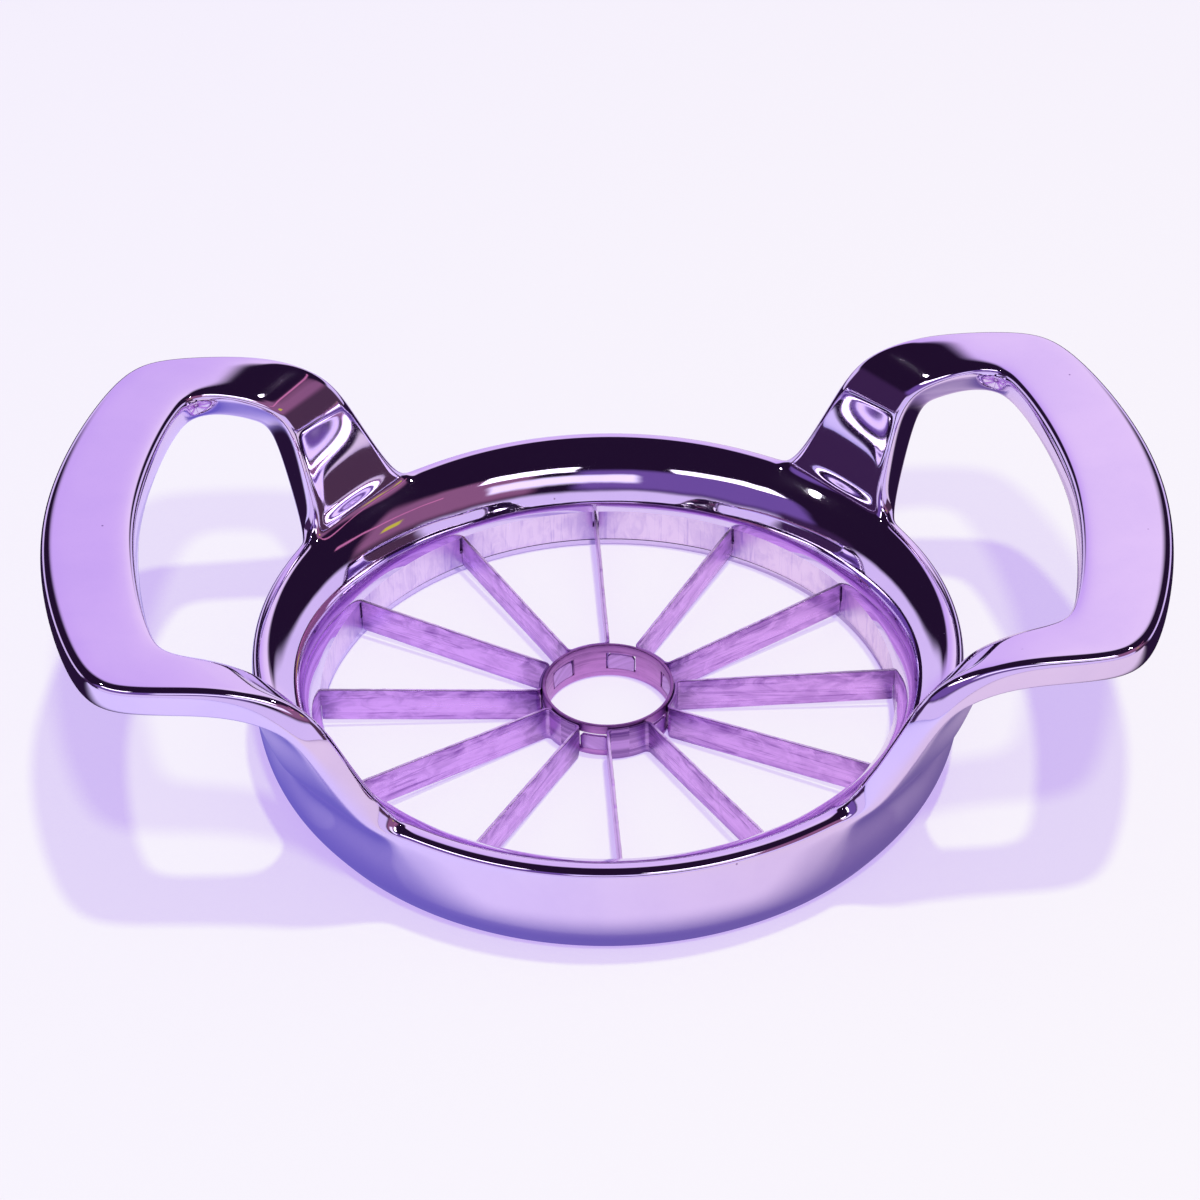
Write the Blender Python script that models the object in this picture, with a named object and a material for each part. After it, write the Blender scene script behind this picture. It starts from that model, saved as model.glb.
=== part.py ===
"""Apple slicer and corer, pressed down by hand.

A chrome-plated cast frame carries a star of stainless blades. The star is a thin band in the
frame's bore, a core ring in the middle, and six strips, each folded to a U that makes two
blades. Nothing moves: the blades are trapped between the band and the frame.

Metres, +Z up. The origin is on the table, on the axis of the round frame, and the two loop
handles reach along +X and -X. The blades' sharp edges face down.
"""

import math

import bpy
import bmesh
from mathutils import Matrix, Vector

# Star of blades
BLADE_CIRCLE_RADIUS = 0.0475
BLADE_DEPTH = 0.0063
BLADE_THICKNESS = 0.0005
BLADE_EDGE_THICKNESS = 0.00012
BLADE_GRIND_DEPTH = 0.0014
STAR_SAG = 0.0013
BLADE_COUNT = 12
STRIP_COUNT = BLADE_COUNT // 2
FIRST_BLADE_ANGLE = math.radians(90.0)
ROOT_SPREAD_ANGLE = math.radians(3.0)
STRIP_BEND_RADIUS = 0.0009
STRIP_CLEARANCE = 0.0003

# Core ring
CORE_OUTER_RADIUS = 0.0109
CORE_WALL = 0.0006
CORE_DEPTH = 0.0065
CORE_RIM_STAND = 0.0003
CORE_GRIND_DEPTH = 0.0011
CORE_EDGE_WALL = 0.00025
TAB_WIDTH = 0.0046
TAB_SLOT = 0.00035
WINDOW_DEPTH = 0.0033
WINDOW_BELOW_RIM = 0.0017
TAB_WALL = 0.0005
TAB_LEAN_ANGLE = math.radians(2.5)

# Band in the frame's bore
BAND_WALL = 0.0006
BAND_SLOT_DEPTH = 0.0036
HOOK_DEPTH = 0.0030
HOOK_TOP_CLEARANCE = 0.0002
BAND_CLEARANCE = 0.0003

# Frame ring
LIP_SETBACK = 0.00034
LIP_ABOVE_BLADES = 0.0015
LIP_ROUNDING = 0.0022
LIP_FACE_ANGLE = math.radians(74.0)
BORE_DRAFT = 0.0002
RING_WIDTH = 0.01016
RING_CREST_HEIGHT = 0.0179
SEAT_LEDGE_HEIGHT = 0.0011
SEAT_CLEARANCE = 0.0004

# Loop handles
HANDLE_OVERHANG = 0.0306
HANDLE_INSET = 0.0022
HANDLE_TOP_HEIGHT = 0.0453
HANDLE_THICKNESS = 0.0051
HANDLE_EDGE_ROUNDING = 0.0008
GRIP_WIDTH = 0.0145
ARM_WIDTH = 0.0103
HOLE_DRAFT = 0.0005
ARM_HOLLOW_DEPTH = 0.0027
ARM_OUTER_ANGLE = math.radians(54.0)
ARM_INNER_ANGLE = math.radians(29.5)
ARM_FILLET_ANGLE = math.radians(2.5)

# The shoulder and the foot of the ring, as shares of its width from the bore's lip
ring_shoulder_share = 0.528
ring_foot_share = 0.665

# The star stands on the ledge in the bore, the bore fits the star, the ring stands round the
# bore, and the handles reach out from the ring
BLADE_TOP_HEIGHT = SEAT_LEDGE_HEIGHT + SEAT_CLEARANCE + BLADE_DEPTH
BORE_LIP_RADIUS = BLADE_CIRCLE_RADIUS + LIP_SETBACK
BORE_LIP_HEIGHT = BLADE_TOP_HEIGHT + LIP_ABOVE_BLADES
RING_OUTER_RADIUS = BORE_LIP_RADIUS + RING_WIDTH
RING_SHOULDER_RADIUS = BORE_LIP_RADIUS + ring_shoulder_share * RING_WIDTH
RING_FOOT_RADIUS = BORE_LIP_RADIUS + ring_foot_share * RING_WIDTH
RING_CREST_RADIUS = (RING_SHOULDER_RADIUS + RING_OUTER_RADIUS) / 2
HANDLE_REACH = RING_OUTER_RADIUS + HANDLE_OVERHANG
HANDLE_HALF_WIDTH = RING_OUTER_RADIUS * math.sin(ARM_OUTER_ANGLE) - HANDLE_INSET
HOLE_REACH = HANDLE_REACH - GRIP_WIDTH
HOLE_HALF_WIDTH = HANDLE_HALF_WIDTH - ARM_WIDTH

# Fineness of the round work, and how far cutting tools run past what they cut
CUT_OVERRUN = 0.004
BORE_STEPS = 96
CORE_STEPS = 60
FRAME_SMOOTHING = 1
SHARP_ANGLE = math.radians(38.0)


def clear_scene():
    for thing in list(bpy.data.objects):
        bpy.data.objects.remove(thing, do_unlink=True)


def metal(name, colour, roughness):
    material = bpy.data.materials.new(name)
    material.use_nodes = True
    shader = material.node_tree.nodes["Principled BSDF"]
    shader.inputs["Base Color"].default_value = (*colour, 1.0)
    shader.inputs["Metallic"].default_value = 1.0
    shader.inputs["Roughness"].default_value = roughness
    return material


def add_object(name, mesh, material=None):
    thing = bpy.data.objects.new(name, mesh)
    bpy.context.scene.collection.objects.link(thing)
    if material:
        mesh.materials.append(material)
    return thing


def mesh_from(name, points, faces):
    mesh = bpy.data.meshes.new(name)
    mesh.from_pydata([tuple(point) for point in points], [], faces)
    work = bmesh.new()
    work.from_mesh(mesh)
    bmesh.ops.recalc_face_normals(work, faces=work.faces)
    work.to_mesh(mesh)
    work.free()
    return mesh


def smooth(thing):
    thing.data.shade_smooth()
    thing.data.set_sharp_from_angle(angle=SHARP_ANGLE)


def cutter_from(name, mesh):
    cutter = add_object(name, mesh)
    cutter.hide_render = True
    cutter.display_type = "WIRE"
    return cutter


def add_boolean(thing, tool, operation):
    change = thing.modifiers.new(tool.name, "BOOLEAN")
    change.operation = operation
    change.solver = "EXACT"
    change.object = tool


def around(radius, angle, height=0.0):
    return Vector((radius * math.cos(angle), radius * math.sin(angle), height))


def turned_mesh(name, profile, steps):
    """A closed profile of (radius, height) points, spun once round the Z axis."""
    points = []
    faces = []
    on_axis = {}
    rows = []
    for index, (radius, height) in enumerate(profile):
        if radius == 0:
            on_axis[index] = len(points)
            points.append(Vector((0, 0, height)))
            rows.append([on_axis[index]] * steps)
            continue
        rows.append(list(range(len(points), len(points) + steps)))
        for step in range(steps):
            points.append(around(radius, math.tau * step / steps, height))
    for index, row in enumerate(rows):
        following = rows[(index + 1) % len(rows)]
        if index in on_axis and (index + 1) % len(rows) in on_axis:
            continue
        for step in range(steps):
            beside = (step + 1) % steps
            corners = [row[step], row[beside], following[beside], following[step]]
            faces.append(list(dict.fromkeys(corners)))
    return mesh_from(name, points, faces)


# Frame

# Section of the cast ring, from the bottom of the bore, up the bellied inner face, over the
# crest and down the outer wall. Each point is a share of the way between two named radii and
# a share of the way between two heights.
ring_face_shares = ((-0.175, -0.67), (-0.063, -0.058), (0.29, 0.37), (0.72, 0.65))
ring_crest_shares = (
    (0.17, 0.95), (0.46, 1.003), (0.77, 1.003), (0.97, 0.97), (1.0, 0.855), (1.0, 0.52), (0.87, 0.25),
)

# Places round one quarter of the ring, beside the arms: shares of the way from the X axis to
# the inner side of an arm, and from its outer side to the Y axis.
beside_inner_shares = (0.0, 0.27, 0.53, 0.78)
beside_outer_shares = (0.2, 0.46, 0.73)

# The handle's outer edge and its finger hole, up the arm from the ring and round to the
# X axis: shares of the way from the ring's crest to the full reach, of the half width, and of
# the way from the crest's height to the top.
handle_outer_shares = (
    (0.04, 0.995, 0.104), (0.097, 0.999, 0.32), (0.14, 1.0, 0.5), (0.182, 1.0, 0.683),
    (0.254, 1.0, 0.846), (0.374, 1.0, 0.965), (0.507, 1.0, 1.0), (0.683, 1.0, 1.0),
    (0.797, 0.96, 1.0), (0.873, 0.79, 1.0), (0.941, 0.53, 1.0), (0.984, 0.265, 1.0), (1.0, 0.0, 1.0),
)
handle_inner_shares = (
    (-0.023, 0.86, 0.089), (0.029, 0.93, 0.296), (0.069, 0.965, 0.473), (0.118, 0.988, 0.653),
    (0.233, 1.0, 0.812), (0.452, 1.0, 0.919), (0.631, 1.0, 0.955), (0.764, 0.955, 0.969),
    (0.83, 0.82, 0.977), (0.876, 0.7, 0.983), (0.934, 0.5, 0.99), (0.98, 0.255, 0.993),
    (1.0, 0.0, 0.995),
)

# The front of an arm stands back between two rims, deepest a little above the ring, and
# swells forward at the bend: shares of the full depth, from the ring upwards, and the width of
# a rim as a share of the arm's width.
arm_hollow_shares = (0.67, 1.0, 0.52, -0.2, -0.15)
arm_rim_share = 0.24


def ring_section():
    """Control points of the ring's section, as (radius, height)."""
    face_width = RING_SHOULDER_RADIUS - BORE_LIP_RADIUS
    face_height = RING_CREST_HEIGHT - BORE_LIP_HEIGHT
    crest_width = RING_OUTER_RADIUS - RING_SHOULDER_RADIUS
    below = -CUT_OVERRUN
    section = [(BORE_LIP_RADIUS + ring_face_shares[0][0] * face_width, below)]
    for across, up in ring_face_shares:
        section.append((BORE_LIP_RADIUS + across * face_width, BORE_LIP_HEIGHT + up * face_height))
    for across, up in ring_crest_shares:
        section.append((RING_SHOULDER_RADIUS + across * crest_width, up * RING_CREST_HEIGHT))
    section.append((RING_FOOT_RADIUS, 0.0))
    section.append(((RING_FOOT_RADIUS + BORE_LIP_RADIUS) / 2, below))
    return section


# Rows of the section that an arm grows from, from the crest to the outer wall.
crest_start = 1 + len(ring_face_shares)
mouth_rows = tuple(range(crest_start + 1, crest_start + 5))


def ring_angles():
    """Angles of the ring's control sections, closer together beside each arm."""
    inner_flank = ARM_INNER_ANGLE - ARM_FILLET_ANGLE
    outer_flank = ARM_OUTER_ANGLE + ARM_FILLET_ANGLE
    arm_step = (ARM_OUTER_ANGLE - ARM_INNER_ANGLE) / 3
    quarter = [share * inner_flank for share in beside_inner_shares]
    quarter.append(inner_flank)
    arm_start = len(quarter)
    quarter += [ARM_INNER_ANGLE + arm_step * step for step in range(4)]
    quarter.append(outer_flank)
    quarter += [outer_flank + share * (math.pi / 2 - outer_flank) for share in beside_outer_shares]
    count = len(quarter)
    half = quarter + [math.pi / 2] + [math.pi - angle for angle in reversed(quarter[1:])]
    full = half + [angle + math.pi for angle in half]
    # Each arm: the index of its section that is nearest the X axis, and the way to count
    half_count = 2 * count
    arms = {
        (1, 1): (arm_start, 1),
        (-1, 1): (half_count - arm_start, -1),
        (-1, -1): (half_count + arm_start, 1),
        (1, -1): (2 * half_count - arm_start, -1),
    }
    return full, arms


def handle_edges():
    """Top edges of half a handle, from the ring to the X axis, as pairs of points."""

    def edge(shares, root_angle, reach, half_width):
        root = RING_CREST_RADIUS * math.cos(root_angle)
        rise = HANDLE_TOP_HEIGHT - RING_CREST_HEIGHT
        return [
            Vector((root + out * (reach - root), aside * half_width, RING_CREST_HEIGHT + up * rise))
            for out, aside, up in shares
        ]

    outer = edge(handle_outer_shares, ARM_OUTER_ANGLE, HANDLE_REACH, HANDLE_HALF_WIDTH)
    inner = edge(handle_inner_shares, ARM_INNER_ANGLE, HOLE_REACH, HOLE_HALF_WIDTH)
    return list(zip(outer, inner))


def handle_loops():
    """Twelve-point sections of half a handle, in order from the ring to the X axis."""
    pairs = handle_edges()
    middles = [(outer + inner) / 2 for outer, inner in pairs]
    loops = []
    for index, (outer, inner) in enumerate(pairs):
        before = middles[max(index - 1, 0)]
        if index + 1 < len(middles):
            after = middles[index + 1]
        else:
            after = Vector((before.x, -before.y, before.z))
        along = (after - before).normalized()
        across = (inner - outer).normalized()
        up = across.cross(along).normalized()
        if up.z < 0:
            up = -up
        width = (inner - outer).length
        corner = HANDLE_EDGE_ROUNDING
        bulge = across * (corner / 4)
        top = [outer + across * place for place in (corner, width / 3, width * 2 / 3, width - corner)]
        under = -up * HANDLE_THICKNESS
        draft = across * HOLE_DRAFT
        bottom = [point + under for point in reversed(top)]
        bottom[0] += draft
        if index < len(arm_hollow_shares):
            setback = up * (ARM_HOLLOW_DEPTH * arm_hollow_shares[index])
            top[1] = outer + across * (width * arm_rim_share) - setback
            top[2] = inner - across * (width * arm_rim_share) - setback
        sides = (-up * corner, under + up * corner)
        inner_side = [inner + bulge + sides[0], inner + bulge + sides[1] + draft]
        outer_side = [outer - bulge + side for side in reversed(sides)]
        loops.append(top + inner_side + bottom + outer_side)
    return loops


def frame_cage():
    """Control mesh of the whole casting: the ring, four arms and two grips in one skin."""
    angles, arms = ring_angles()
    section = ring_section()
    rows = len(section)
    count = len(angles)
    points = []
    for index, angle in enumerate(angles):
        before = angle - angles[index - 1]
        after = angles[(index + 1) % count] - angle
        # A smoothed polygon shrinks: its radius is corrected for the angles beside it
        swell = 6 / (4 + math.cos(before) + math.cos(after))
        points += [around(radius * swell, angle, height) for radius, height in section]

    def at(sector, row):
        return (sector % count) * rows + row % rows

    open_faces = set()
    mouths = {}
    for key, (start, way) in arms.items():
        sectors = [start + way * step for step in range(4)]
        for low, high in zip(sectors, sectors[1:]):
            for row in mouth_rows[:-1]:
                open_faces.add((min(low, high) % count, row))
        mouth = [at(sector, mouth_rows[0]) for sector in reversed(sectors)]
        mouth += [at(sectors[0], row) for row in mouth_rows[1:-1]]
        mouth += [at(sector, mouth_rows[-1]) for sector in sectors]
        mouth += [at(sectors[-1], row) for row in reversed(mouth_rows[1:-1])]
        mouths[key] = mouth
    faces = []
    for sector in range(count):
        for row in range(rows):
            if (sector, row) not in open_faces:
                faces.append([at(sector, row), at(sector + 1, row), at(sector + 1, row + 1), at(sector, row + 1)])

    half = handle_loops()
    for side in (1, -1):
        loops = [mouths[side, 1]]
        for mirror in (1, -1):
            ordered = half if mirror == 1 else list(reversed(half[:-1]))
            for loop in ordered:
                loops.append(list(range(len(points), len(points) + len(loop))))
                points += [Vector((side * point.x, mirror * point.y, point.z)) for point in loop]
        loops.append(mouths[side, -1])
        for near, far in zip(loops, loops[1:]):
            for step in range(len(near)):
                beside = (step + 1) % len(near)
                faces.append([near[step], near[beside], far[beside], far[step]])
    return mesh_from("frame", points, faces)


def bore_cutter():
    """Everything that is turned out of the casting: the bore, the band's groove and the foot."""
    groove_radius = BLADE_CIRCLE_RADIUS + BAND_WALL + BAND_CLEARANCE
    groove_top = BLADE_TOP_HEIGHT + BAND_CLEARANCE
    beyond = RING_OUTER_RADIUS + CUT_OVERRUN
    profile = [
        (0, -2 * CUT_OVERRUN),
        (beyond, -2 * CUT_OVERRUN),
        (beyond, 0),
        (BORE_LIP_RADIUS, 0),
        (BORE_LIP_RADIUS, SEAT_LEDGE_HEIGHT),
        (groove_radius, SEAT_LEDGE_HEIGHT),
        (groove_radius, groove_top),
        (BORE_LIP_RADIUS - BORE_DRAFT, groove_top),
    ]
    # The lip is rounded where the ring's inner face meets the bore
    turn = math.pi / 2 - LIP_FACE_ANGLE
    reach = LIP_ROUNDING * math.tan(turn / 2)
    centre = Vector((BORE_LIP_RADIUS + LIP_ROUNDING, BORE_LIP_HEIGHT - reach))
    lip_steps = 4
    for step in range(lip_steps + 1):
        angle = math.pi - turn * step / lip_steps
        profile.append((centre.x + LIP_ROUNDING * math.cos(angle), centre.y + LIP_ROUNDING * math.sin(angle)))
    last = Vector(profile[-1])
    profile.append((last.x, last.y + CUT_OVERRUN))
    profile.append((0, last.y + CUT_OVERRUN))
    return cutter_from("frame_bore_cutter", turned_mesh("frame_bore_cutter", profile, BORE_STEPS))


def build_frame(chrome):
    frame = add_object("frame", frame_cage(), chrome)
    skin = frame.modifiers.new("cast_skin", "SUBSURF")
    skin.levels = FRAME_SMOOTHING
    skin.render_levels = FRAME_SMOOTHING
    add_boolean(frame, bore_cutter(), "DIFFERENCE")
    smooth(frame)


# Band

def build_band(steel):
    bottom = BLADE_TOP_HEIGHT - BLADE_DEPTH
    outer = BLADE_CIRCLE_RADIUS + BAND_WALL
    profile = [
        (BLADE_CIRCLE_RADIUS, bottom),
        (outer, bottom),
        (outer, BLADE_TOP_HEIGHT),
        (BLADE_CIRCLE_RADIUS, BLADE_TOP_HEIGHT),
    ]
    band = add_object("blade_band", turned_mesh("blade_band", profile, BORE_STEPS), steel)
    slot_width = BLADE_THICKNESS + 2 * STRIP_CLEARANCE
    slots = bmesh.new()
    height = BAND_SLOT_DEPTH + CUT_OVERRUN
    for index in range(BLADE_COUNT):
        angle = FIRST_BLADE_ANGLE + math.tau * index / BLADE_COUNT
        place = Matrix.Rotation(angle, 4, "Z")
        place @= Matrix.Translation((BLADE_CIRCLE_RADIUS, 0, BLADE_TOP_HEIGHT - BAND_SLOT_DEPTH + height / 2))
        place @= Matrix.Diagonal((2 * CUT_OVERRUN, slot_width, height, 1))
        bmesh.ops.create_cube(slots, size=1, matrix=place)
    mesh = bpy.data.meshes.new("band_slot_cutter")
    slots.to_mesh(mesh)
    slots.free()
    add_boolean(band, cutter_from("band_slot_cutter", mesh), "DIFFERENCE")
    smooth(band)


# Core ring

def build_core(steel):
    top = BLADE_TOP_HEIGHT - STAR_SAG + CORE_RIM_STAND
    bottom = top - CORE_DEPTH
    inner = CORE_OUTER_RADIUS - CORE_WALL
    profile = [
        (inner, bottom),
        (inner + CORE_EDGE_WALL, bottom),
        (CORE_OUTER_RADIUS, bottom + CORE_GRIND_DEPTH),
        (CORE_OUTER_RADIUS, top),
        (inner, top),
    ]
    core = add_object("core_ring", turned_mesh("core_ring", profile, CORE_STEPS), steel)
    window_top = top - WINDOW_BELOW_RIM
    window_bottom = window_top - WINDOW_DEPTH
    window_width = TAB_WIDTH + 2 * TAB_SLOT
    tab_height = WINDOW_DEPTH - TAB_SLOT
    tab_root = CORE_WALL
    windows = bmesh.new()
    tabs = bmesh.new()
    for index in range(STRIP_COUNT):
        angle = FIRST_BLADE_ANGLE - math.pi / BLADE_COUNT + math.tau * index / STRIP_COUNT
        turn = Matrix.Rotation(angle, 4, "Z")
        place = turn @ Matrix.Translation((CORE_OUTER_RADIUS, 0, (window_top + window_bottom) / 2))
        place @= Matrix.Diagonal((2 * CUT_OVERRUN, window_width, WINDOW_DEPTH, 1))
        bmesh.ops.create_cube(windows, size=1, matrix=place)
        # The tab is a flat flap, left on at its lower edge and leaning out a little
        flat_radius = CORE_OUTER_RADIUS - CORE_WALL / 2
        place = turn @ Matrix.Translation((flat_radius, 0, window_bottom))
        place @= Matrix.Rotation(TAB_LEAN_ANGLE, 4, "Y")
        place @= Matrix.Translation((0, 0, (tab_height - tab_root) / 2))
        place @= Matrix.Diagonal((TAB_WALL, TAB_WIDTH, tab_height + tab_root, 1))
        bmesh.ops.create_cube(tabs, size=1, matrix=place)
    window_mesh = bpy.data.meshes.new("core_window_cutter")
    windows.to_mesh(window_mesh)
    windows.free()
    tab_mesh = bpy.data.meshes.new("core_tabs_joined")
    tabs.to_mesh(tab_mesh)
    tabs.free()
    add_boolean(core, cutter_from("core_window_cutter", window_mesh), "DIFFERENCE")
    add_boolean(core, cutter_from("core_tabs_joined", tab_mesh), "UNION")
    smooth(core)


# Blade strips

def strip_route():
    """Centre line of one folded strip in plan, about the X axis, from one end to the other."""
    web_radius = CORE_OUTER_RADIUS + STRIP_CLEARANCE + BLADE_THICKNESS / 2
    end_radius = BLADE_CIRCLE_RADIUS - STRIP_CLEARANCE
    half_pitch = math.pi / BLADE_COUNT
    root = around(web_radius, half_pitch + ROOT_SPREAD_ANGLE)
    tip = around(end_radius, half_pitch)
    hook = around(BLADE_CIRCLE_RADIUS + BAND_WALL, half_pitch)
    along = (tip - root).normalized()
    aside = Vector((along.y, -along.x, 0))
    # Centre of the bend: one bend radius beside the blade, and outside the web
    start = root + aside * STRIP_BEND_RADIUS
    reach = web_radius + STRIP_BEND_RADIUS
    towards = start.dot(along)
    centre = start + along * (math.sqrt(reach ** 2 - start.length_squared + towards ** 2) - towards)
    leave_angle = math.atan2(centre.y, centre.x)
    bend_start = leave_angle + math.pi
    bend_end = math.atan2(-aside.y, -aside.x)
    if bend_end > bend_start:
        bend_end -= math.tau
    web_steps = 8
    bend_steps = 5
    blade_steps = 4
    half = []
    for step in range(web_steps // 2 + 1):
        half.append(around(web_radius, leave_angle * step / (web_steps / 2)))
    for step in range(1, bend_steps + 1):
        half.append(centre + around(STRIP_BEND_RADIUS, bend_start + (bend_end - bend_start) * step / bend_steps))
    bend_out = half[-1]
    for step in range(1, blade_steps + 1):
        half.append(bend_out.lerp(tip, step / blade_steps))
    half.append(hook)
    mirrored = [Vector((point.x, -point.y, 0)) for point in reversed(half[1:])]
    return mirrored + half


def strip_section(radius):
    """Heights of the strip at a distance from the axis: top, hook, grind and edge."""
    root_radius = CORE_OUTER_RADIUS + STRIP_CLEARANCE
    share = (BLADE_CIRCLE_RADIUS - radius) / (BLADE_CIRCLE_RADIUS - root_radius)
    top = BLADE_TOP_HEIGHT - STAR_SAG * min(max(share, 0), 1)
    return top, top - HOOK_TOP_CLEARANCE - HOOK_DEPTH, top - BLADE_DEPTH + BLADE_GRIND_DEPTH, top - BLADE_DEPTH


def strip_mesh(name):
    route = strip_route()
    body = route[1:-1]
    points = []
    faces = []
    for index, place in enumerate(body):
        before = route[index]
        after = route[index + 2]
        if index == 0:
            before = place
        if index == len(body) - 1:
            after = place
        along = (after - before).normalized()
        aside = Vector((-along.y, along.x, 0))
        top, hook, grind, edge = strip_section(place.length)
        for half_width, height in (
            (BLADE_THICKNESS / 2, top), (BLADE_THICKNESS / 2, hook),
            (BLADE_THICKNESS / 2, grind), (BLADE_EDGE_THICKNESS / 2, edge),
        ):
            points.append(place + aside * half_width + Vector((0, 0, height)))
        for half_width, height in (
            (BLADE_EDGE_THICKNESS / 2, edge), (BLADE_THICKNESS / 2, grind),
            (BLADE_THICKNESS / 2, hook), (BLADE_THICKNESS / 2, top),
        ):
            points.append(place - aside * half_width + Vector((0, 0, height)))
    ring = 8
    for index in range(len(body) - 1):
        for step in range(ring):
            beside = (step + 1) % ring
            near = index * ring
            far = near + ring
            faces.append([near + step, near + beside, far + beside, far + step])
    for first, outward in ((0, route[0] - route[1]), ((len(body) - 1) * ring, route[-1] - route[-2])):
        faces.append([first + 1, first + 2, first + 5, first + 6])
        faces.append([first + 2, first + 3, first + 4, first + 5])
        # The upper part of each end runs on as a hook through the band's slot
        upper = [first, first + 1, first + 6, first + 7]
        hook = list(range(len(points), len(points) + 4))
        points += [points[corner] + outward for corner in upper]
        for step in range(4):
            beside = (step + 1) % 4
            if {upper[step], upper[beside]} != {first + 1, first + 6}:
                faces.append([upper[step], upper[beside], hook[beside], hook[step]])
        faces.append([upper[1], upper[2], hook[2], hook[1]])
        faces.append(hook)
    return mesh_from(name, points, faces)


def build_strips(steel):
    for index in range(STRIP_COUNT):
        name = "blade_pair_%d" % (index + 1)
        strip = add_object(name, strip_mesh(name), steel)
        angle = FIRST_BLADE_ANGLE + math.pi / BLADE_COUNT + math.tau * index / STRIP_COUNT
        strip.data.transform(Matrix.Rotation(angle, 4, "Z"))
        smooth(strip)


def build():
    clear_scene()
    chrome = metal("chrome_plate", (0.78, 0.72, 0.88), 0.06)
    band_steel = metal("band_steel", (0.70, 0.62, 0.82), 0.28)
    core_steel = metal("core_steel", (0.60, 0.42, 0.64), 0.34)
    blade_steel = metal("blade_steel", (0.64, 0.46, 0.72), 0.30)
    build_frame(chrome)
    build_band(band_steel)
    build_core(core_steel)
    build_strips(blade_steel)


build()
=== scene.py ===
"""Looks of the apple slicer: a chrome-plated cast frame with a star of stainless blades.

Metres, +Z up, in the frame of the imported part. The ring's axis is the Z axis, the loop handles
reach along +X and -X, and the blades' sharp edges face the table.
"""

import math

import bmesh
import bpy
from mathutils import Matrix, Vector, noise


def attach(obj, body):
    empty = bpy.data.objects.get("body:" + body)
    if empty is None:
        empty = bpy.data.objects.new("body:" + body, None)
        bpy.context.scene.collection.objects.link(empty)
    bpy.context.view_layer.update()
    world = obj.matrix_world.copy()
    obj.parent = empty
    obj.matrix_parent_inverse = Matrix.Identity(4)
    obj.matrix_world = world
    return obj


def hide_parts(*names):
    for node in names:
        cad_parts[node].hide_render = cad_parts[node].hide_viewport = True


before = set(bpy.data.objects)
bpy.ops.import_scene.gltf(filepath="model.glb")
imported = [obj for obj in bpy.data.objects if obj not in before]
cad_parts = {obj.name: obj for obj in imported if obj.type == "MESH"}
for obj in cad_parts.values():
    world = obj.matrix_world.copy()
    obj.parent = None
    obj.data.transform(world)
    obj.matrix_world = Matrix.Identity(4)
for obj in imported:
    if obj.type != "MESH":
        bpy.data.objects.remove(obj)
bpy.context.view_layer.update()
scene = bpy.context.scene

# Camera.
# A short telephoto view from in front of the slicer, looking down at it by about 38 degrees.
camera_place = Vector((-0.01543, -0.37645, 0.31646))
camera_heading = math.radians(-2.17)
camera_tilt = math.radians(52.22)
camera_roll = math.radians(-0.65)
camera_lens_mm = 88.44
camera_sensor_mm = 36.0

camera_data = bpy.data.cameras.new("camera")
camera_data.lens = camera_lens_mm
camera_data.sensor_width = camera_sensor_mm
camera = bpy.data.objects.new("camera", camera_data)
scene.collection.objects.link(camera)
camera.matrix_world = (
    Matrix.Translation(camera_place)
    @ Matrix.Rotation(camera_heading, 4, "Z")
    @ Matrix.Rotation(camera_tilt, 4, "X")
    @ Matrix.Rotation(camera_roll, 4, "Z")
)
scene.camera = camera
scene.view_settings.view_transform = "Standard"


# Table.
# A wide, plain, near-white table top that takes the slicer's violet shadow. The polished metal
# shows it in deeper shades than the camera does, bluer on the left and greyer on the right.
table_size = 6.0
table_lit_colour = (0.30, 0.395, 0.075, 1.0)
table_shade_left = (0.52, 0.36, 0.88, 1.0)
table_shade_right = (0.525, 0.365, 0.87, 1.0)
mirrored_lit_colour = (0.43, 0.395, 0.36, 1.0)
mirrored_shade_left = (0.17, 0.14, 0.52, 1.0)
mirrored_shade_right = (0.19, 0.12, 0.30, 1.0)
# Painted shade that only the metal mirrors, deepest just outside the ring
painted_ring_shade_left = (0.165, 0.135, 0.58, 1.0)
painted_ring_shade_right = (0.17, 0.115, 0.30, 1.0)
# Painted reflection: the dark that the metal mirrors far out at both sides
painted_far_dark = (0.02, 0.008, 0.035, 1.0)
half_turn_of_shade = 0.09
# The painted deep shade that the metal mirrors starts at the ring and reaches out over the smaller
# distance in front of and behind the slicer, and over the larger one at its sides
deep_inner_edge = (0.050, 0.052)
deep_start = 0.0555
deep_reach = (0.010, 0.026)
deep_end_shares = (1.1, 0.0)
sideways_shares = (0.38, 0.74)
# Where the painted dark reflection lies, to the sides and ahead
far_aside = (0.068, 0.088)
far_ahead = (-0.06, -0.02)
# Where the metal is given a paler painted reflection of the table, in the bore
bore_edge = (0.047, 0.045)
bore_share = 0.4

bpy.ops.object.select_all(action="DESELECT")
bpy.ops.mesh.primitive_plane_add(size=table_size, location=(0, 0, 0))
table = bpy.context.object
table.name = "table_top"


def link(tree, start, start_socket, end, end_socket):
    tree.links.new(start.outputs[start_socket], end.inputs[end_socket])


def math_node(tree, operation, first, second=None, third=None, clamp=False):
    """A Math node whose inputs are sockets or plain numbers; gives its output socket."""
    made = tree.nodes.new("ShaderNodeMath")
    made.operation = operation
    made.use_clamp = clamp
    for index, value in enumerate((first, second, third)):
        if value is None:
            continue
        if isinstance(value, (int, float)):
            made.inputs[index].default_value = value
        else:
            tree.links.new(value, made.inputs[index])
    return made.outputs[0]


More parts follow.
